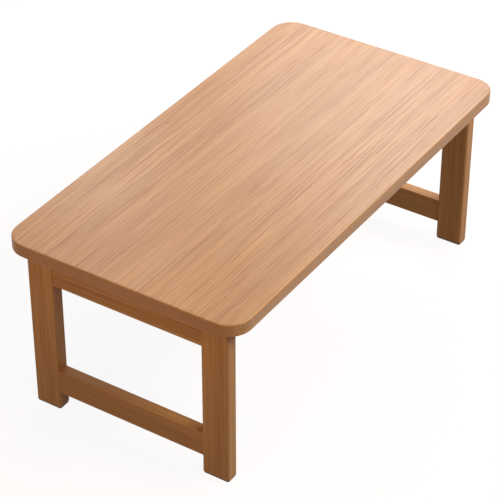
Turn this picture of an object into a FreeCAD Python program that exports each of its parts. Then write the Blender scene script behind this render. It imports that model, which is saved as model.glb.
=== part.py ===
import FreeCAD, Part
import math
import os

from FreeCAD import Vector

# A folding coffee table in light wood. A thick top with rounded corners stands on two leg frames,
# one at each short end. Each frame has two legs, an upper rail and a stretcher, and folds inward
# on two steel butt hinges until it lies flat under the top.
# Millimetres. X runs along the table from the near end to the far end, Y across it to the left,
# Z up. The origin is on the floor, under the middle of the top.

# Table top
top_length = 1136.0
top_width = 600.0
top_thickness = 31.0
top_corner_radius = 56.0
top_edge_radius = 3.0
table_height = 447.0

# Legs: wide across the table, thin along it, and rounder on their outer edges than beside the rails
leg_width = 66.0
leg_depth = 33.0
leg_end_inset = 30.0
leg_side_inset = 42.0
leg_outer_edge_radius = 5.0
leg_inner_edge_radius = 2.5
leg_foot_edge_radius = 1.0

# Upper rail and stretcher, a little thinner than the legs that they join
upper_rail_height = 73.0
stretcher_height = 62.0
stretcher_floor_gap = 46.0
rail_front_reveal = 1.5
rail_back_reveal = 3.5
rail_edge_radius = 2.5

# Blind tenons on both ends of each rail
tenon_length = 34.0
tenon_thickness = 10.0
tenon_shoulder = 9.0
glue_gap = 0.1

# Foot pads under the legs
pad_thickness = 3.0
pad_inset = 1.0
pad_corner_radius = 4.0

# Butt hinges: two under each end of the top
leaf_length = 64.0
leaf_width = 28.0
leaf_thickness = 2.0
leaf_corner_radius = 3.0
hinge_leg_gap = 30.0
knuckle_radius = 4.0
knuckle_clearance = 0.3
knuckle_count = 5
pin_radius = 2.0
pin_proud = 1.0
pin_fit = 0.05

# Wood screws: countersunk in the hinges, round-headed in the catches
screw_length = 18.0
screw_shank_radius = 1.8
screw_tip_length = 4.0
screw_tip_radius = 0.4
screw_fit = 0.05
flat_head_radius = 3.6
round_head_radius = 3.6
round_head_height = 2.4
recess_length = 4.0
recess_width = 0.9
recess_depth = 1.1
leaf_screw_shares = (-0.35, 0.0, 0.35)

# Spring catches: a steel strip under the top whose lip stands behind the open frame's upper rail
catch_length = 80.0
catch_width = 40.0
catch_thickness = 1.0
catch_pad_length = 30.0
catch_drop = 7.0
catch_lip = 5.0
catch_clearance = 0.3
catch_screw_share = 0.5

# How far a cutting tool runs past the face that it cuts, and how close two levels are to be the same
cut_overrun = 1.0
same_level = 0.01

# Levels and faces that the pieces share, for the near end
underside = table_height - top_thickness
end_face = -top_length / 2
leg_outer_face = end_face + leg_end_inset
leg_inner_face = leg_outer_face + leg_depth
rail_outer_face = leg_outer_face + rail_front_reveal
rail_inner_face = leg_inner_face - rail_back_reveal
leg_side = top_width / 2 - leg_side_inset
rail_end = leg_side - leg_width
upper_rail_span = (underside - upper_rail_height, underside)
stretcher_span = (stretcher_floor_gap, stretcher_floor_gap + stretcher_height)
pivot_offset = knuckle_radius + knuckle_clearance
pivot_x = rail_inner_face + pivot_offset
pivot_z = underside - pivot_offset
hinge_middle = rail_end - hinge_leg_gap - leaf_length / 2
leaf_screw_line = (pivot_offset + leaf_width) / 2
catch_inner_end = rail_inner_face + catch_length
catch_pad_end = catch_inner_end - catch_pad_length

along_x = Vector(1, 0, 0)
along_y = Vector(0, 1, 0)
along_z = Vector(0, 0, 1)


def block(x_range, y_range, z_range):
    """A box between two values along each axis, in either order."""
    low = [min(span) for span in (x_range, y_range, z_range)]
    size = [max(span) - min(span) for span in (x_range, y_range, z_range)]
    return Part.makeBox(*size, Vector(*low))


def edges_along(shape, axis):
    """The straight edges of a shape that run along an axis."""
    straight = [edge for edge in shape.Edges if isinstance(edge.Curve, Part.Line)]
    return [edge for edge in straight if abs(edge.Curve.Direction.dot(axis)) > math.cos(math.radians(1))]


def edges_at_level(shape, level):
    """The edges of a shape that lie in one horizontal plane."""
    return [edge for edge in shape.Edges
            if edge.BoundBox.ZLength < same_level and abs(edge.CenterOfMass.z - level) < same_level]


def joined(shapes):
    """Several touching or overlapping solids made into one."""
    return shapes[0].multiFuse(shapes[1:]).removeSplitter()


# Screws, made with the head's outer face at the origin and the tip along +Z

def screw_shank(start, grow):
    """The shank from a height up to the tip, made wider all round by the given amount."""
    tip_start = screw_length - screw_tip_length
    shank = Part.makeCylinder(screw_shank_radius + grow, tip_start - start, Vector(0, 0, start))
    tip = Part.makeCone(screw_shank_radius + grow, screw_tip_radius + grow, screw_tip_length + grow,
                        Vector(0, 0, tip_start))
    return [shank, tip]


def driver_recess(face_level):
    """A cross recess in a head whose outer face is at the given level."""
    depth = (face_level - cut_overrun, face_level + recess_depth)
    long_way = (-recess_length / 2, recess_length / 2)
    short_way = (-recess_width / 2, recess_width / 2)
    return joined([block(long_way, short_way, depth), block(short_way, long_way, depth)])


def flat_screw():
    """A countersunk wood screw."""
    head_height = flat_head_radius - screw_shank_radius
    head = Part.makeCone(flat_head_radius, screw_shank_radius, head_height)
    return joined([head] + screw_shank(head_height, 0)).cut(driver_recess(0))


def flat_screw_hole():
    """The hole that a countersunk screw fills, from its leaf into the wood."""
    head_height = flat_head_radius - screw_shank_radius
    mouth = Part.makeCylinder(flat_head_radius + screw_fit, cut_overrun, Vector(0, 0, -cut_overrun))
    cone = Part.makeCone(flat_head_radius + screw_fit, screw_shank_radius + screw_fit, head_height)
    return joined([mouth, cone] + screw_shank(head_height, screw_fit))


def round_screw():
    """A round-headed wood screw. Its head stands on the outer face of what it holds."""
    head = Part.makeCylinder(round_head_radius, round_head_height, Vector(0, 0, -round_head_height))
    rim = edges_at_level(head, -round_head_height)
    head = head.makeFillet(round_head_height / 2, rim)
    return joined([head] + screw_shank(0, 0)).cut(driver_recess(-round_head_height))


def round_screw_hole():
    """The hole that a round-headed screw's shank fills."""
    mouth = Part.makeCylinder(screw_shank_radius + screw_fit, cut_overrun, Vector(0, 0, -cut_overrun))
    return joined([mouth] + screw_shank(0, screw_fit))


def set_up(shape, place):
    """Moves a screw, made upright, to a place under the top."""
    moved = shape.copy()
    moved.translate(place)
    return moved


def set_sideways(shape, place):
    """Turns a screw to point outward along -X and moves it to a place on the upper rail."""
    moved = shape.copy()
    moved.rotate(Vector(0, 0, 0), along_y, -90)
    moved.translate(place)
    return moved


def top_leaf_places(side):
    """Where the screws' heads lie on a hinge's top leaf."""
    middle = side * hinge_middle
    return [Vector(pivot_x + leaf_screw_line, middle + share * leaf_length, underside - leaf_thickness)
            for share in leaf_screw_shares]


def rail_leaf_places(side):
    """Where the screws' heads lie on a hinge's rail leaf."""
    middle = side * hinge_middle
    return [Vector(rail_inner_face + leaf_thickness, middle + share * leaf_length, pivot_z - leaf_screw_line)
            for share in leaf_screw_shares]


def catch_screw_places():
    """Where the screws' heads stand on a catch's pad."""
    x = (catch_inner_end + catch_pad_end) / 2
    y = catch_screw_share * catch_width / 2
    return [Vector(x, turn * y, underside - catch_thickness) for turn in (-1, 1)]


# Leg frame

def leg(side):
    """One leg, with a mortise for each rail."""
    post = block((leg_outer_face, leg_inner_face), (side * rail_end, side * leg_side),
                 (pad_thickness, underside))
    middle = (rail_end + leg_side) / 2
    outer = [edge for edge in edges_along(post, along_z) if abs(edge.CenterOfMass.y) > middle]
    post = post.makeFillet(leg_outer_edge_radius, outer)
    inner = [edge for edge in edges_along(post, along_z) if abs(edge.CenterOfMass.y) < middle]
    post = post.makeFillet(leg_inner_edge_radius, inner)
    post = post.makeFillet(leg_foot_edge_radius, edges_at_level(post, pad_thickness))
    mortises = [tenon(bottom, top, side, glue_gap) for bottom, top in (upper_rail_span, stretcher_span)]
    return post.cut(Part.makeCompound(mortises))


def tenon(bottom, top, side, grow):
    """A rail's tenon in the leg on one side, made larger all round by the given amount."""
    middle = (rail_outer_face + rail_inner_face) / 2
    half = tenon_thickness / 2 + grow
    return block((middle - half, middle + half),
                 (side * rail_end, side * (rail_end + tenon_length + grow)),
                 (bottom + tenon_shoulder - grow, top - tenon_shoulder + grow))


def rail(bottom, top, rounded_levels):
    """A rail between the legs with a tenon on each end, its edges rounded at the given levels."""
    bar = block((rail_outer_face, rail_inner_face), (-rail_end, rail_end), (bottom, top))
    rounded = [edge for edge in edges_along(bar, along_y)
               if min(abs(edge.CenterOfMass.z - level) for level in rounded_levels) < same_level]
    bar = bar.makeFillet(rail_edge_radius, rounded)
    return joined([bar] + [tenon(bottom, top, side, 0) for side in (-1, 1)])


def upper_rail():
    """The upper rail, whose top face bears on the underside, with holes for the rail leaves' screws."""
    bottom, top = upper_rail_span
    places = rail_leaf_places(-1) + rail_leaf_places(1)
    holes = [set_sideways(flat_screw_hole(), place) for place in places]
    return rail(bottom, top, [bottom]).cut(Part.makeCompound(holes))


def foot_pads():
    """The pads under a frame's two legs."""
    pads = []
    for side in (-1, 1):
        pad = block((leg_outer_face + pad_inset, leg_inner_face - pad_inset),
                    (side * (rail_end + pad_inset), side * (leg_side - pad_inset)), (0, pad_thickness))
        pads.append(pad.makeFillet(pad_corner_radius, edges_along(pad, along_z)))
    return Part.makeCompound(pads)


# Hinges

def knuckle_spans(side, first):
    """Every second knuckle along a hinge, as the two Y values between which it lies."""
    pitch = leaf_length / knuckle_count
    start = side * hinge_middle - leaf_length / 2
    return [(start + i * pitch + knuckle_clearance / 2, start + (i + 1) * pitch - knuckle_clearance / 2)
            for i in range(first, knuckle_count, 2)]


def knuckle(span):
    """One knuckle: a short tube round the pivot."""
    return Part.makeCylinder(knuckle_radius, span[1] - span[0], Vector(pivot_x, span[0], pivot_z), along_y)


def pin_bore(side):
    """The bore through all of a hinge's knuckles."""
    start = Vector(pivot_x, side * hinge_middle - leaf_length / 2 - cut_overrun, pivot_z)
    return Part.makeCylinder(pin_radius + pin_fit, leaf_length + 2 * cut_overrun, start, along_y)


def top_leaf(side):
    """The leaf screwed to the underside, with the knuckles between those of the rail leaf."""
    levels = (underside - leaf_thickness, underside)
    ends = (side * hinge_middle - leaf_length / 2, side * hinge_middle + leaf_length / 2)
    plate = block((pivot_x + pivot_offset, pivot_x + leaf_width), ends, levels)
    corners = [edge for edge in edges_along(plate, along_z) if edge.CenterOfMass.x > pivot_x + leaf_screw_line]
    pieces = [plate.makeFillet(leaf_corner_radius, corners)]
    for span in knuckle_spans(side, 1):
        pieces += [knuckle(span), block((pivot_x, pivot_x + pivot_offset), span, levels)]
    holes = [set_up(flat_screw_hole(), place) for place in top_leaf_places(side)]
    return joined(pieces).cut(Part.makeCompound(holes + [pin_bore(side)]))


def rail_leaf(side):
    """The leaf screwed to the upper rail's inner face, with the two end knuckles and the middle one."""
    faces = (rail_inner_face, rail_inner_face + leaf_thickness)
    ends = (side * hinge_middle - leaf_length / 2, side * hinge_middle + leaf_length / 2)
    plate = block(faces, ends, (pivot_z - pivot_offset, pivot_z - leaf_width))
    corners = [edge for edge in edges_along(plate, along_x) if edge.CenterOfMass.z < pivot_z - leaf_screw_line]
    pieces = [plate.makeFillet(leaf_corner_radius, corners)]
    for span in knuckle_spans(side, 0):
        pieces += [knuckle(span), block(faces, span, (pivot_z, pivot_z - pivot_offset))]
    holes = [set_sideways(flat_screw_hole(), place) for place in rail_leaf_places(side)]
    return joined(pieces).cut(Part.makeCompound(holes + [pin_bore(side)]))


def hinge_pin(side):
    """The pin through a hinge, standing a little proud at both ends."""
    start = Vector(pivot_x, side * hinge_middle - leaf_length / 2 - pin_proud, pivot_z)
    return Part.makeCylinder(pin_radius, leaf_length + 2 * pin_proud, start, along_y)


def rail_leaf_screws():
    """The screws that hold a frame's two rail leaves."""
    places = rail_leaf_places(-1) + rail_leaf_places(1)
    return Part.makeCompound([set_sideways(flat_screw(), place) for place in places])


# Spring catch

def catch():
    """A strip with a flat pad, a tongue that slopes down to the upper rail and a lip that stops it."""
    seat = rail_inner_face + catch_clearance
    lip_end = underside - catch_drop - catch_lip
    outline = [Vector(catch_inner_end, 0, underside),
               Vector(catch_pad_end, 0, underside),
               Vector(seat, 0, underside - catch_drop),
               Vector(seat, 0, lip_end),
               Vector(seat + catch_thickness, 0, lip_end),
               Vector(seat + catch_thickness, 0, underside - catch_drop - catch_thickness),
               Vector(catch_pad_end, 0, underside - catch_thickness),
               Vector(catch_inner_end, 0, underside - catch_thickness)]
    strip = Part.Face(Part.makePolygon(outline + outline[:1])).extrude(Vector(0, catch_width, 0))
    strip.translate(Vector(0, -catch_width / 2, 0))
    holes = [set_up(round_screw_hole(), place) for place in catch_screw_places()]
    return strip.cut(Part.makeCompound(holes))


# Far end: the near end turned half a turn about the table's middle

def at_far_end(shape):
    """The same piece at the far end. What was on the left is then on the right."""
    moved = shape.copy()
    moved.rotate(Vector(0, 0, 0), along_z, 180)
    return moved


def at_both_ends(shapes):
    """Shapes made for the near end, and the same ones at the far end."""
    return shapes + [at_far_end(shape) for shape in shapes]


# Table top

def top_panel():
    """The board: a rectangle with rounded corners, eased edges and holes for the screws under it."""
    board = block((-top_length / 2, top_length / 2), (-top_width / 2, top_width / 2), (underside, table_height))
    board = board.makeFillet(top_corner_radius, edges_along(board, along_z))
    rims = edges_at_level(board, underside) + edges_at_level(board, table_height)
    board = board.makeFillet(top_edge_radius, rims)
    places = top_leaf_places(-1) + top_leaf_places(1)
    holes = [set_up(flat_screw_hole(), place) for place in places]
    holes += [set_up(round_screw_hole(), place) for place in catch_screw_places()]
    return board.cut(Part.makeCompound(at_both_ends(holes)))


def top_leaf_screws():
    """The screws that hold all the top leaves."""
    places = top_leaf_places(-1) + top_leaf_places(1)
    return Part.makeCompound(at_both_ends([set_up(flat_screw(), place) for place in places]))


def catch_screws():
    """The screws that hold both catches."""
    return Part.makeCompound(at_both_ends([set_up(round_screw(), place) for place in catch_screw_places()]))


# Every piece under its node's name

nodes = {"top_panel": top_panel(), "top_leaf_screws": top_leaf_screws(), "catch_screws": catch_screws()}
sided_pieces = {"leg": leg, "top_leaf": top_leaf, "rail_leaf": rail_leaf, "hinge_pin": hinge_pin}
for name, make in sided_pieces.items():
    for near_side, far_side, side in (("left", "right", 1), ("right", "left", -1)):
        piece = make(side)
        nodes["near_" + near_side + "_" + name] = piece
        nodes["far_" + far_side + "_" + name] = at_far_end(piece)
frame_pieces = {"upper_rail": upper_rail(), "stretcher": rail(*stretcher_span, stretcher_span),
                "rail_leaf_screws": rail_leaf_screws(), "foot_pads": foot_pads(), "catch": catch()}
for name, piece in frame_pieces.items():
    nodes["near_" + name] = piece
    nodes["far_" + name] = at_far_end(piece)

os.makedirs("parts", exist_ok=True)
for name, shape in nodes.items():
    shape.exportStep("parts/" + name + ".step")
    box = shape.BoundBox
    print(f"{name:24s} solids {len(shape.Solids):2d} valid {shape.isValid()} volume {shape.Volume:12.1f}",
          f"x {box.XMin:8.2f} {box.XMax:8.2f} y {box.YMin:8.2f} {box.YMax:8.2f} z {box.ZMin:7.2f} {box.ZMax:7.2f}")
print(f"fold axis at x {pivot_x:.2f} and {-pivot_x:.2f}, z {pivot_z:.2f}")
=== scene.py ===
import math

import bpy
import numpy as np
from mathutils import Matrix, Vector


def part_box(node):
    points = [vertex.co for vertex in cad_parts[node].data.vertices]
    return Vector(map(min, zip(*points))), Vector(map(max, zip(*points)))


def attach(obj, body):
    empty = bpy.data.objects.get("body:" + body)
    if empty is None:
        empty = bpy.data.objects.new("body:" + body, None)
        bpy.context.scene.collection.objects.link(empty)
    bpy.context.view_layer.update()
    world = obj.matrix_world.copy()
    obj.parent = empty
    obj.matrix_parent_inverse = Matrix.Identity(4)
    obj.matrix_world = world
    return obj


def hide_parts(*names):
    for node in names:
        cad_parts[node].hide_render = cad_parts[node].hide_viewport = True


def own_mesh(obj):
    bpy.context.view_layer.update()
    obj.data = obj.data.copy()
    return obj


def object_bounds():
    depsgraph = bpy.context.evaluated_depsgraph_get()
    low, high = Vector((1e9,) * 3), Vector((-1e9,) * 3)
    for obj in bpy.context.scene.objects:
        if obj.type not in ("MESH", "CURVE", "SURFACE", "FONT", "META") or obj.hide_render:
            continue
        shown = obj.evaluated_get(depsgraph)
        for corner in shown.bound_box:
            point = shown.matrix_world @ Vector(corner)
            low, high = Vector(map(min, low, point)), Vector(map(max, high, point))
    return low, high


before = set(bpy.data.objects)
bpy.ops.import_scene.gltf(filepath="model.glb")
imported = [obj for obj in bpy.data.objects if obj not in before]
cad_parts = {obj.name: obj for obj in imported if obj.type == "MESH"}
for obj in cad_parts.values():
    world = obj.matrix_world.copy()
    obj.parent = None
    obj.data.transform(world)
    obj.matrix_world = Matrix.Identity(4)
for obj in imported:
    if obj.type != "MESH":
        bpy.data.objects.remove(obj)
cad_low, cad_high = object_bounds()

# Table top
# A thick board of solid light wood, glued up from staves that run along the table. It is planed and sanded
# flush, its corners are cut round, its arrises eased, and it is sprayed with clear satin lacquer.

metre_mm = 1000
stave_mm = 46
top_coat, top_dull, top_marks = 0.34, 0.33, 1.0


def linear(code):
    """An sRGB hex colour as linear red, green, blue and an alpha of 1."""
    share = np.array([int(code[start:start + 2], 16) for start in (1, 3, 5)]) / 255
    return (*np.where(share <= 0.04045, share / 12.92, ((share + 0.055) / 1.055) ** 2.4), 1.0)


def add(tree, kind, feeds=None, **settings):
    """Adds a node. Settings are its properties, and feeds are its sockets' values or the sockets that
    drive them."""
    made = tree.nodes.new(kind)
    for key, value in settings.items():
        setattr(made, key, value)
    for key, value in (feeds or {}).items():
        if isinstance(value, bpy.types.NodeSocket):
            tree.links.new(value, made.inputs[key])
        else:
            made.inputs[key].default_value = value
    return made


def blank(name):
    """A new material with an empty node tree."""
    material = bpy.data.materials.new(name)
    material.use_nodes = True
    material.node_tree.nodes.clear()
    return material, material.node_tree


def dress(names, material):
    """Puts a material in every slot of the named CAD nodes."""
    for name in names:
        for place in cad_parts[name].material_slots:
            place.material = material


def per_metre(size_mm):
    """How many times a pattern repeats in a metre along each axis, from its size in millimetres."""
    return tuple(metre_mm / side for side in size_mm)


def streaks(tree, place, size_mm, detail, distortion=0.0):
    """Soft noise whose features have a given size along each axis, in millimetres."""
    place = add(tree, "ShaderNodeVectorMath", {0: place, 1: per_metre(size_mm)},
                operation="MULTIPLY").outputs[0]
    return add(tree, "ShaderNodeTexNoise", {"Vector": place, "Scale": 1.0, "Detail": detail,
                                            "Distortion": distortion}).outputs[0]


def lacquered_wood(name, grain, turn, pieces, round_corners, coat, dull, marked):
    """Light straight-grained hardwood under clear satin lacquer. The eye sees fine even lines along the
    grain, growth rings cut lengthwise, thin pore lines and darker dashes, staves that differ in tone and in
    how marked they are, and a few flecks. Upper arrises are paler, partly from wear and partly as a painted
    highlight, and lower arrises are darker as painted shade. Grain names the axis that the fibres follow,
    whose faces show end grain. Turning the object's coordinates lays the grain along X, and pieces says how
    many staves, posts or rails there are to a metre each way. With round corners the upright edges aren't
    arrises. Coat is how strongly the lacquer reflects, dull its roughness, and marked how strongly the
    marks show."""
    pale, warm, brown, soaked, line = "#cf9860", "#c58d57", "#b47b48", "#a36d3c", "#a05a14"
    material, tree = blank(name)
    coords = add(tree, "ShaderNodeTexCoord").outputs
    place = add(tree, "ShaderNodeMapping", {"Vector": coords["Object"], "Rotation": turn}).outputs["Vector"]

    # Each stave, post or rail has its own tone, its own stretch of the figure and its own strength of
    # marks. Along X nothing is counted, and the half keeps that zero clear of a cell's edge.
    cell_start, figure_shift = (0.5, 0, 0), (3.0, 0.0, 1.0)
    weakest, strongest = 0.8 * marked, 1.6 * marked
    cell = add(tree, "ShaderNodeVectorMath", {0: place, 1: pieces, 2: cell_start},
               operation="MULTIPLY_ADD").outputs[0]
    cell = add(tree, "ShaderNodeVectorMath", {0: cell}, operation="FLOOR").outputs[0]
    lot = add(tree, "ShaderNodeTexWhiteNoise", {"Vector": cell}, noise_dimensions="3D").outputs
    figure = add(tree, "ShaderNodeVectorMath", {0: lot["Color"], 1: figure_shift, 2: place},
                 operation="MULTIPLY_ADD").outputs[0]
    strength = add(tree, "ShaderNodeSeparateColor", {"Color": lot["Color"]}).outputs["Green"]
    strength = add(tree, "ShaderNodeMapRange", {"Value": strength, "To Min": weakest,
                                                "To Max": strongest}).outputs[0]

    # The ground: fine fibres within broad soft bands
    fibre_mm, band_mm, band_share = (320, 2.4, 2.4), (450, 26, 26), 0.4
    brown_at, warm_at, pale_at = 0.33, 0.5, 0.67
    fine = streaks(tree, figure, fibre_mm, detail=2.0)
    band = streaks(tree, figure, band_mm, detail=2.0, distortion=0.3)
    streak = add(tree, "ShaderNodeMix", {"Factor": band_share, "A": fine, "B": band}).outputs["Result"]
    tone = add(tree, "ShaderNodeValToRGB", {"Fac": streak})
    ramp = tone.color_ramp.elements
    ramp[0].position, ramp[0].color = brown_at, linear(brown)
    ramp[1].position, ramp[1].color = pale_at, linear(pale)
    ramp.new(warm_at).color = linear(warm)

    # Growth rings cut lengthwise: each darkens slowly to a thin line, wanders a little and fades in and out
    ring_mm, ring_lean, ring_wander, ring_mark = 8, 0.8, 4.0, 0.5
    wander_mm, fade_mm = (900, 45, 45), (300, 9, 9)
    ring_count = (0, metre_mm / ring_mm, ring_lean * metre_mm / ring_mm)
    rings = add(tree, "ShaderNodeVectorMath", {0: figure, 1: ring_count},
                operation="DOT_PRODUCT").outputs["Value"]
    wander = streaks(tree, figure, wander_mm, detail=2.0)
    rings = add(tree, "ShaderNodeMath", {0: wander, 1: ring_wander, 2: rings},
                operation="MULTIPLY_ADD").outputs[0]
    rings = add(tree, "ShaderNodeMath", {0: rings}, operation="FRACT").outputs[0]
    rings = add(tree, "ShaderNodeMapRange", {"Value": rings, "From Min": 0.55, "From Max": 0.95}).outputs[0]
    fade = streaks(tree, figure, fade_mm, detail=1.0)
    fade = add(tree, "ShaderNodeMapRange", {"Value": fade, "From Min": 0.42, "From Max": 0.64}).outputs[0]
    rings = add(tree, "ShaderNodeMath", {0: rings, 1: fade}, operation="MULTIPLY").outputs[0]

    # Tone of the stave, and a slow drift of tone along the piece
    drift_mm, drift_tone, own_tone = (600, 60, 60), 0.04, 0.025
    drift = streaks(tree, place, drift_mm, detail=1.0)
    drift = add(tree, "ShaderNodeMapRange", {"Value": drift, "From Min": 0.3, "From Max": 0.7,
                                             "To Min": 1 - drift_tone, "To Max": 1 + drift_tone}).outputs[0]
    own = add(tree, "ShaderNodeMapRange", {"Value": lot["Value"], "To Min": 1 - own_tone,
                                           "To Max": 1 + own_tone}).outputs[0]
    level = add(tree, "ShaderNodeMath", {0: drift, 1: own}, operation="MULTIPLY").outputs[0]

    # Pores are finer than the render can show, so they are drawn as lines about five times as wide
    pore_mm, pore_mark = (110, 1.5, 1.5), 0.5
    pores = streaks(tree, figure, pore_mm, detail=1.0)
    pores = add(tree, "ShaderNodeMapRange", {"Value": pores, "From Min": 0.56, "From Max": 0.74}).outputs[0]

    # Sparse darker dashes, up to a hand long
    dash_mm, dash_mark = (150, 4, 4), 0.5
    dashes = streaks(tree, figure, dash_mm, detail=1.0)
    dashes = add(tree, "ShaderNodeMapRange", {"Value": dashes, "From Min": 0.66,
                                              "From Max": 0.76}).outputs[0]

    # Flecks: small dark marks in about one in twelve of the cells that they are drawn from
    fleck_cell_mm, fleck_chance, fleck_mark = (140, 60, 60), 0.08, 0.3
    spots = add(tree, "ShaderNodeVectorMath", {0: place, 1: per_metre(fleck_cell_mm)},
                operation="MULTIPLY").outputs[0]
    spots = add(tree, "ShaderNodeTexVoronoi", {"Vector": spots, "Scale": 1.0}).outputs
    chosen = add(tree, "ShaderNodeSeparateColor", {"Color": spots["Color"]}).outputs["Red"]
    chosen = add(tree, "ShaderNodeMath", {0: chosen, 1: fleck_chance}, operation="LESS_THAN").outputs[0]
    fleck = add(tree, "ShaderNodeMapRange", {"Value": spots["Distance"], "From Min": 0.02, "From Max": 0.06,
                                             "To Min": fleck_mark, "To Max": 0.0}).outputs[0]
    fleck = add(tree, "ShaderNodeMath", {0: fleck, 1: chosen}, operation="MULTIPLY").outputs[0]

    # Arrises are the places whose normal is along none of the axes. Upper ones are paler, partly from wear
    # and partly as a painted highlight, and the lower ones are darker, as painted shade.
    wear_and_painted_highlight, painted_underside_shade = 0.12, -0.45
    across = add(tree, "ShaderNodeVectorMath", {0: coords["Normal"]}, operation="ABSOLUTE").outputs[0]
    axis = add(tree, "ShaderNodeSeparateXYZ", {"Vector": across}).outputs
    if round_corners:
        side = add(tree, "ShaderNodeVectorMath", {0: across, 1: (1, 1, 0)}, operation="MULTIPLY").outputs[0]
        side = add(tree, "ShaderNodeVectorMath", {0: side}, operation="LENGTH").outputs["Value"]
    else:
        side = add(tree, "ShaderNodeMath", {0: axis["X"], 1: axis["Y"]}, operation="MAXIMUM").outputs[0]
    flat = add(tree, "ShaderNodeMath", {0: side, 1: axis["Z"]}, operation="MAXIMUM").outputs[0]
    arris = add(tree, "ShaderNodeMapRange", {"Value": flat, "From Min": 0.78, "From Max": 0.97,
                                             "To Min": 1.0, "To Max": 0.0}).outputs[0]
    facing = add(tree, "ShaderNodeSeparateXYZ", {"Vector": coords["Normal"]}).outputs["Z"]
    wear_and_painted_arris_light = add(tree, "ShaderNodeMapRange", {"Value": facing, "From Min": -0.4, "From Max": 0.2,
                                            "To Min": painted_underside_shade, "To Max": wear_and_painted_highlight}).outputs[0]
    wear_and_painted_arris_light = add(tree, "ShaderNodeMath", {0: arris, 1: wear_and_painted_arris_light, 2: 1.0}, operation="MULTIPLY_ADD").outputs[0]

    # Flecks, pores, rings and dashes all draw towards one red-brown
    marks = fleck
    for mark, share in ((pores, pore_mark), (rings, ring_mark), (dashes, dash_mark)):
        marks = add(tree, "ShaderNodeMath", {0: mark, 1: share, 2: marks},
                    operation="MULTIPLY_ADD").outputs[0]
    marks = add(tree, "ShaderNodeMath", {0: marks, 1: strength}, operation="MULTIPLY",
                use_clamp=True).outputs[0]
    colour = add(tree, "ShaderNodeMix", {"Factor": marks, "A": tone.outputs["Color"], "B": linear(line)},
                 data_type="RGBA").outputs["Result"]
    # Upper arrises are made paler (wear and a painted highlight), lower arrises darker (painted shade)
    level = add(tree, "ShaderNodeMath", {0: wear_and_painted_arris_light, 1: level}, operation="MULTIPLY").outputs[0]
    colour = add(tree, "ShaderNodeVectorMath", {0: colour, "Scale": level}, operation="SCALE").outputs[0]

    # End grain soaks up the lacquer: it is a little browner and hides most of the figure
    end_cover = 0.75
    end_grain = add(tree, "ShaderNodeMapRange", {"Value": axis[grain], "From Min": 0.6, "From Max": 0.95,
                                                 "To Max": end_cover}).outputs[0]
    colour = add(tree, "ShaderNodeMix", {"Factor": end_grain, "A": colour, "B": linear(soaked)},
                 data_type="RGBA").outputs["Result"]

    # The lacquer sinks a little into pores, soft lines and end grain, and is duller there. Arrises are
    # rubbed glossier.
    soft_dulling, pore_dulling, arris_dulling, end_dulling = 0.03, 0.08, -0.12, 0.2
    pore_height = -0.6
    rough = add(tree, "ShaderNodeMapRange", {"Value": streak, "From Min": 0.3, "From Max": 0.7,
                                             "To Min": dull + soft_dulling,
                                             "To Max": dull - soft_dulling}).outputs[0]
    for spot, dulling in ((pores, pore_dulling), (arris, arris_dulling), (end_grain, end_dulling)):
        rough = add(tree, "ShaderNodeMath", {0: spot, 1: dulling, 2: rough},
                    operation="MULTIPLY_ADD").outputs[0]
    height = add(tree, "ShaderNodeMath", {0: pores, 1: pore_height, 2: fine},
                 operation="MULTIPLY_ADD").outputs[0]
    bump = add(tree, "ShaderNodeBump", {"Height": height, "Strength": 0.07,
                                        "Distance": 0.0003}).outputs["Normal"]
    shader = add(tree, "ShaderNodeBsdfPrincipled", {"Base Color": colour, "Roughness": rough,
                                                    "Normal": bump, "IOR": 1.5, "Specular IOR Level": coat})
    add(tree, "ShaderNodeOutputMaterial", {"Surface": shader.outputs["BSDF"]})
    return material


lengthwise = (0, 0, 0)
staves = (0, metre_mm / stave_mm, 0)
dress(["top_panel"], lacquered_wood("lacquered wood along the table", "X", lengthwise, staves, True,
                                    top_coat, top_dull, top_marks))

# Legs
# Four flat posts of the same wood with the grain upright, their outer arrises well rounded. Each has a
# blind mortise for the rail and one for the stretcher. Their figure is plainer and their lacquer duller
# than the top's.

ends = ("near", "far")
sides = ("left", "right")
plain_coat, plain_dull, plain_marks = 0.14, 0.45, 0.55
# Each leg has a room of this size to itself, so that no two share a tone
post_room_mm = 600
upright = (0, math.radians(90), 0)
posts = (0, metre_mm / post_room_mm, metre_mm / post_room_mm)
dress([f"{end}_{side}_leg" for end in ends for side in sides],
      lacquered_wood("lacquered wood upright", "Z", upright, posts, False,
                     plain_coat, plain_dull, plain_marks))

# Upper rails and stretchers
# Flat rails with the grain across the table, tenoned and glued into the legs. They are thinner than the
# legs, so a narrow reveal shows along each joint.

# Each rail has a room of this length and height to itself
rail_room_mm, rail_storey_mm = 600, 300
crosswise = (0, 0, math.radians(90))
rails = (0, metre_mm / rail_room_mm, metre_mm / rail_storey_mm)
dress([f"{end}_{rail}" for end in ends for rail in ("upper_rail", "stretcher")],
      lacquered_wood("lacquered wood crosswise", "Y", crosswise, rails, False,
                     plain_coat, plain_dull, plain_marks))

# Butt hinges and screws
# Stamped steel leaves rolled round a drawn pin, screwed under the top and on the inner face of the upper
# rails. Leaves, pins and screws are plated with zinc in a barrel.


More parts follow.
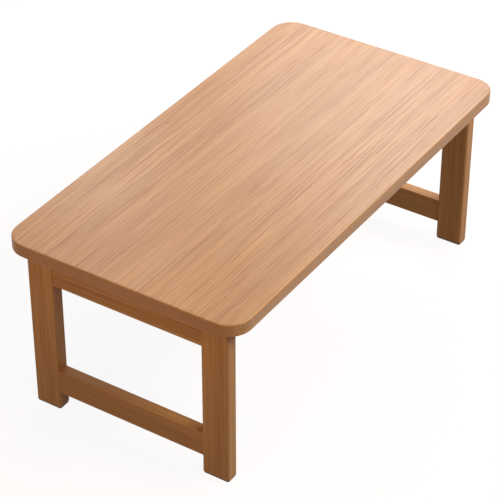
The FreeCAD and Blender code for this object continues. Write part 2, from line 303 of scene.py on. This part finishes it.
def barrel_zinc(name, bright, dull, cloud_mm, scratch_mm):
    """Zinc-plated steel, tumbled in a barrel: a soft grey gloss with cloudy patches and fine short
    scratches. Scratch_mm is a scratch's size along X, Y and Z. Real scratches are finer than the render
    shows, so they are drawn about ten times as wide."""
    material, tree = blank(name)
    place = add(tree, "ShaderNodeTexCoord").outputs["Object"]
    cloud = add(tree, "ShaderNodeTexNoise", {"Vector": place, "Scale": metre_mm / cloud_mm,
                                             "Detail": 4.0}).outputs[0]
    scratch = streaks(tree, place, scratch_mm, detail=2.0)
    colour = add(tree, "ShaderNodeMix", {"Factor": cloud, "A": linear(dull), "B": linear(bright)},
                 data_type="RGBA").outputs["Result"]
    rough = add(tree, "ShaderNodeMapRange", {"Value": cloud, "From Min": 0.3, "From Max": 0.7,
                                             "To Min": 0.42, "To Max": 0.28}).outputs[0]
    bump = add(tree, "ShaderNodeBump", {"Height": scratch, "Strength": 0.2,
                                        "Distance": 0.0001}).outputs["Normal"]
    shader = add(tree, "ShaderNodeBsdfPrincipled", {"Base Color": colour, "Roughness": rough,
                                                    "Normal": bump, "Metallic": 1.0})
    add(tree, "ShaderNodeOutputMaterial", {"Surface": shader.outputs["BSDF"]})
    return material


hinge_pieces = [f"{end}_{side}_{piece}" for end in ends for side in sides
                for piece in ("top_leaf", "rail_leaf", "hinge_pin")]
screw_groups = ["top_leaf_screws", "catch_screws"] + [f"{end}_rail_leaf_screws" for end in ends]
dress(hinge_pieces + screw_groups,
      barrel_zinc("barrel-plated zinc on steel", bright="#d3d6d2", dull="#a9aca6", cloud_mm=9,
                  scratch_mm=(4, 0.5, 0.5)))

# Spring catches
# A strip of spring steel under each end of the top. Its pad is screwed on, its tongue slopes down to the
# upper rail, and its turned-down lip stands behind the open rail. Pressed up, it lets the leg frame fold.

catch_width, catch_thickness, catch_corner = 0.040, 0.001, 0.004
catch_pad, catch_drop, bend_reach = 0.030, 0.007, 0.0025
bend_steps, run_steps, edge_steps = 9, 6, 8
# The rows that round the strip's corners cover these shares of its pad and its lip
pad_share, lip_share = 0.2, 0.6
# The lower a power, the squarer the section is that way
width_power, thickness_power = 0.15, 0.6


def catch_strip(name, path):
    """A strip carried along a path in the XZ plane. Each inner point of the path becomes a bend, a
    quadratic curve between points a short way before and after it. The section is a slim rounded
    rectangle, a superellipse, square to the path, and near both ends its width falls as a quarter circle
    does, which rounds the strip's corners."""
    path = np.array(path)
    heading = np.diff(path, axis=0)
    heading /= np.linalg.norm(heading, axis=1)[:, None]
    turns = path[1:-1]
    before, after = turns - bend_reach * heading[:-1], turns + bend_reach * heading[1:]
    gone = np.linspace(0, 1, bend_steps)[:, None]
    left = 1 - gone
    bends = left ** 2 * before[:, None] + 2 * gone * left * turns[:, None] + gone ** 2 * after[:, None]
    shares = 1 - np.cos(np.linspace(0, np.pi / 2, run_steps))
    first = path[0] + (before[0] - path[0]) * shares[:, None] * pad_share
    last = path[-1] + (after[-1] - path[-1]) * shares[::-1, None] * lip_share
    line = np.concatenate([first, bends.reshape(-1, 2), last])
    run = np.concatenate([[0], np.cumsum(np.linalg.norm(np.diff(line, axis=0), axis=1))])
    to_end = np.minimum(np.minimum(run, run[-1] - run), catch_corner)
    half = catch_width / 2 - catch_corner + np.sqrt(catch_corner ** 2 - (catch_corner - to_end) ** 2)
    slope = np.gradient(line, run, axis=0)
    slope /= np.linalg.norm(slope, axis=1)[:, None]
    square = np.stack([-slope[:, 1], slope[:, 0]], 1)
    angle = np.linspace(0, 2 * np.pi, 4 * edge_steps, endpoint=False)
    wide = np.sign(np.cos(angle)) * np.abs(np.cos(angle)) ** width_power
    thick = np.sign(np.sin(angle)) * np.abs(np.sin(angle)) ** thickness_power * catch_thickness / 2
    points = np.empty((len(line), len(angle), 3))
    points[..., 0] = line[:, None, 0] + square[:, None, 0] * thick
    points[..., 1] = half[:, None] * wide
    points[..., 2] = line[:, None, 1] + square[:, None, 1] * thick
    rows, around = points.shape[:2]
    row, spoke = np.meshgrid(np.arange(rows - 1) * around, np.arange(around), indexing="ij")
    beside = (spoke + 1) % around
    faces = np.stack([row + spoke, row + beside, row + around + beside, row + around + spoke], -1)
    caps = [list(range(around))[::-1], list(range((rows - 1) * around, rows * around))]
    mesh = bpy.data.meshes.new(name)
    mesh.from_pydata(points.reshape(-1, 3).tolist(), [], faces.reshape(-1, 4).tolist() + caps)
    mesh.update()
    mesh.shade_smooth()
    piece = bpy.data.objects.new(name, mesh)
    bpy.context.scene.collection.objects.link(piece)
    return piece


def spring_strip(name, bright, blued, cloud_mm, grind_mm):
    """Bare spring steel, rolled and tempered: grey with a faint straw and blue cast in patches, and fine
    grinding lines across the strip. Grind_mm is a line's size along X, Y and Z, drawn about ten times as
    wide as real ones."""
    material, tree = blank(name)
    place = add(tree, "ShaderNodeTexCoord").outputs["Object"]
    cloud = add(tree, "ShaderNodeTexNoise", {"Vector": place, "Scale": metre_mm / cloud_mm,
                                             "Detail": 3.0}).outputs[0]
    grind = streaks(tree, place, grind_mm, detail=2.0)
    mixed = add(tree, "ShaderNodeMix", {"Factor": 0.5, "A": cloud, "B": grind}).outputs["Result"]
    colour = add(tree, "ShaderNodeMix", {"Factor": mixed, "A": linear(blued), "B": linear(bright)},
                 data_type="RGBA").outputs["Result"]
    rough = add(tree, "ShaderNodeMapRange", {"Value": grind, "From Min": 0.3, "From Max": 0.7,
                                             "To Min": 0.28, "To Max": 0.4}).outputs[0]
    bump = add(tree, "ShaderNodeBump", {"Height": grind, "Strength": 0.2,
                                        "Distance": 0.0001}).outputs["Normal"]
    shader = add(tree, "ShaderNodeBsdfPrincipled", {"Base Color": colour, "Roughness": rough,
                                                    "Normal": bump, "Metallic": 1.0})
    add(tree, "ShaderNodeOutputMaterial", {"Surface": shader.outputs["BSDF"]})
    return material


catch_steel = spring_strip("tempered spring steel", bright="#b9b7b0", blued="#8d8f93", cloud_mm=12,
                           grind_mm=(0.4, 12, 0.4))
for end, sign in zip(ends, (-1, 1)):
    low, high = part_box(f"{end}_catch")
    inner, seat = (high[0], low[0]) if sign < 0 else (low[0], high[0])
    pad_end = inner + sign * catch_pad
    middle_line = high[2] - catch_thickness / 2
    lip = seat - sign * catch_thickness / 2
    piece = catch_strip(f"{end}_catch_strip", [(inner, middle_line), (pad_end, middle_line),
                                               (lip, middle_line - catch_drop), (lip, low[2])])
    piece.data.materials.append(catch_steel)
    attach(piece, "table_top")
    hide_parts(f"{end}_catch")
    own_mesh(piece)

# Foot pads
# Thin pads cut from dark rubber sheet with rounded corners, glued under the legs.


def sheet_rubber(name, dark, dusty, speck_mm):
    """Dark rubber sheet: matt, with a fine speckle and a little dust in it."""
    material, tree = blank(name)
    place = add(tree, "ShaderNodeTexCoord").outputs["Object"]
    speck = add(tree, "ShaderNodeTexNoise", {"Vector": place, "Scale": metre_mm / speck_mm,
                                             "Detail": 3.0}).outputs[0]
    colour = add(tree, "ShaderNodeMix", {"Factor": speck, "A": linear(dark), "B": linear(dusty)},
                 data_type="RGBA").outputs["Result"]
    rough = add(tree, "ShaderNodeMapRange", {"Value": speck, "To Min": 0.7, "To Max": 0.95}).outputs[0]
    bump = add(tree, "ShaderNodeBump", {"Height": speck, "Strength": 0.4,
                                        "Distance": 0.0002}).outputs["Normal"]
    shader = add(tree, "ShaderNodeBsdfPrincipled", {"Base Color": colour, "Roughness": rough,
                                                    "Normal": bump, "IOR": 1.52})
    add(tree, "ShaderNodeOutputMaterial", {"Surface": shader.outputs["BSDF"]})
    return material


dress([f"{end}_foot_pads" for end in ends],
      sheet_rubber("dark sheet rubber", dark="#2a211c", dusty="#4a3f37", speck_mm=1.5))

# Floor and room
# A plain pale floor in a white room. The camera sees both lifted to white, and the floor keeps the table's
# shadow. From below the floor is clear, so that the underside can be looked at.

floor_reach, floor_drop = 14.0, 0.0004
floor_grey, floor_lift, floor_glow = "#6e6157", 0.915, "#fcfdfe"
room_light, room_tint = 0.02, "#fff1e2"


def seen_directly(tree):
    """1 for rays from the camera, off a glossy surface or through a clear one, and 0 for the others."""
    ray = add(tree, "ShaderNodeLightPath").outputs
    seen = ray["Is Camera Ray"]
    for kind in ("Is Glossy Ray", "Is Transmission Ray"):
        seen = add(tree, "ShaderNodeMath", {0: seen, 1: ray[kind]}, operation="MAXIMUM").outputs[0]
    return seen


corners = [(x * floor_reach, y * floor_reach, -floor_drop) for x, y in ((-1, -1), (1, -1), (1, 1), (-1, 1))]
floor_mesh = bpy.data.meshes.new("floor")
floor_mesh.from_pydata(corners, [], [(0, 1, 2, 3)])
floor = bpy.data.objects.new("floor", floor_mesh)
bpy.context.scene.collection.objects.link(floor)

floor_paint, tree = blank("pale floor")
lift = add(tree, "ShaderNodeMath", {0: seen_directly(tree), 1: floor_lift}, operation="MULTIPLY").outputs[0]
glow = add(tree, "ShaderNodeEmission", {"Color": linear(floor_glow), "Strength": lift}).outputs[0]
matt = add(tree, "ShaderNodeBsdfDiffuse", {"Color": linear(floor_grey)}).outputs[0]
both = add(tree, "ShaderNodeAddShader", {0: matt, 1: glow}).outputs[0]
below = add(tree, "ShaderNodeNewGeometry").outputs["Backfacing"]
clear = add(tree, "ShaderNodeBsdfTransparent").outputs[0]
one_sided = add(tree, "ShaderNodeMixShader", {0: below, 1: both, 2: clear}).outputs[0]
add(tree, "ShaderNodeOutputMaterial", {"Surface": one_sided})
floor_mesh.materials.append(floor_paint)

room = bpy.data.worlds.new("white room")
room.use_nodes = True
bpy.context.scene.world = room
tree = room.node_tree
tree.nodes.clear()
dim = add(tree, "ShaderNodeBackground", {"Color": linear(room_tint), "Strength": room_light}).outputs[0]
white = add(tree, "ShaderNodeBackground", {"Color": linear("#ffffff"), "Strength": 1.0}).outputs[0]
sky = add(tree, "ShaderNodeMixShader", {0: seen_directly(tree), 1: dim, 2: white}).outputs[0]
add(tree, "ShaderNodeOutputWorld", {"Surface": sky})

# Light
# A long strip high to the right is the main light. Broad weak lamps over the far end and to the left fill
# the shade, softboxes past the far end and to its left give the lacquer its sheen, and a low warm card
# lights the near faces. All are large or weak, so that the top doesn't burn out from any side.


def softbox(name, place, aim, width, height, level, tint="#ffffff"):
    """A rectangular lamp turned towards a point. At level 1 it is about as bright as white paper in full
    light."""
    lamp = bpy.data.lights.new(name, "AREA")
    lamp.shape, lamp.size, lamp.size_y = "RECTANGLE", width, height
    lamp.energy = level * math.pi * width * height
    lamp.color = linear(tint)[:3]
    box = bpy.data.objects.new(name, lamp)
    box.location = place
    box.rotation_euler = (Vector(aim) - Vector(place)).to_track_quat("-Z", "Y").to_euler()
    bpy.context.scene.collection.objects.link(box)


top_face = cad_high[2]
softbox("high fill", place=(1.8, -0.9, 3.4), aim=(0, 0, 0.4), width=3.6, height=3.2, level=0.6)
softbox("right strip", place=(0.4, -2.4, 2.8), aim=(0, 0, 0.4), width=4.5, height=1.2, level=6.0)
softbox("left fill", place=(0, 3.4, 1.7), aim=(0, 0, 0.35), width=3.0, height=2.0, level=1.2)
softbox("far end softbox", place=(3.0, 0.3, 2.8), aim=(0, 0, top_face), width=2.2, height=1.4, level=3.8)
softbox("far left softbox", place=(1.85, 0.76, 1.49), aim=(0.2, 0, top_face), width=0.95, height=0.65,
        level=5.2)
softbox("left edge softbox", place=(1.28, 1.48, 1.7), aim=(-0.2, 0.1, top_face), width=0.45, height=0.8,
        level=5.0)
softbox("warm near card", place=(-1.35, 0.0, 0.58), aim=(-0.4, 0, 0.35), width=1.2, height=0.4, level=2.2,
        tint="#ffe4c8")

# Camera
# A long lens that looks down along the table from beyond its near right corner.

camera_aim, camera_distance = Vector((-0.0302, 0.0205, 0.204)), 4.722
camera_turn, camera_fall = math.radians(32.945), math.radians(35.611)
focal_mm, film_mm = 147.92, 36.0
forward = Vector((math.cos(camera_fall) * math.cos(camera_turn),
                  math.cos(camera_fall) * math.sin(camera_turn),
                  -math.sin(camera_fall)))
lens = bpy.data.cameras.new("camera")
lens.lens, lens.sensor_width = focal_mm, film_mm
camera = bpy.data.objects.new("camera", lens)
camera.location = camera_aim - forward * camera_distance
camera.rotation_euler = forward.to_track_quat("-Z", "Y").to_euler()
bpy.context.scene.collection.objects.link(camera)
bpy.context.scene.camera = camera
bpy.context.scene.view_settings.view_transform = "Standard"
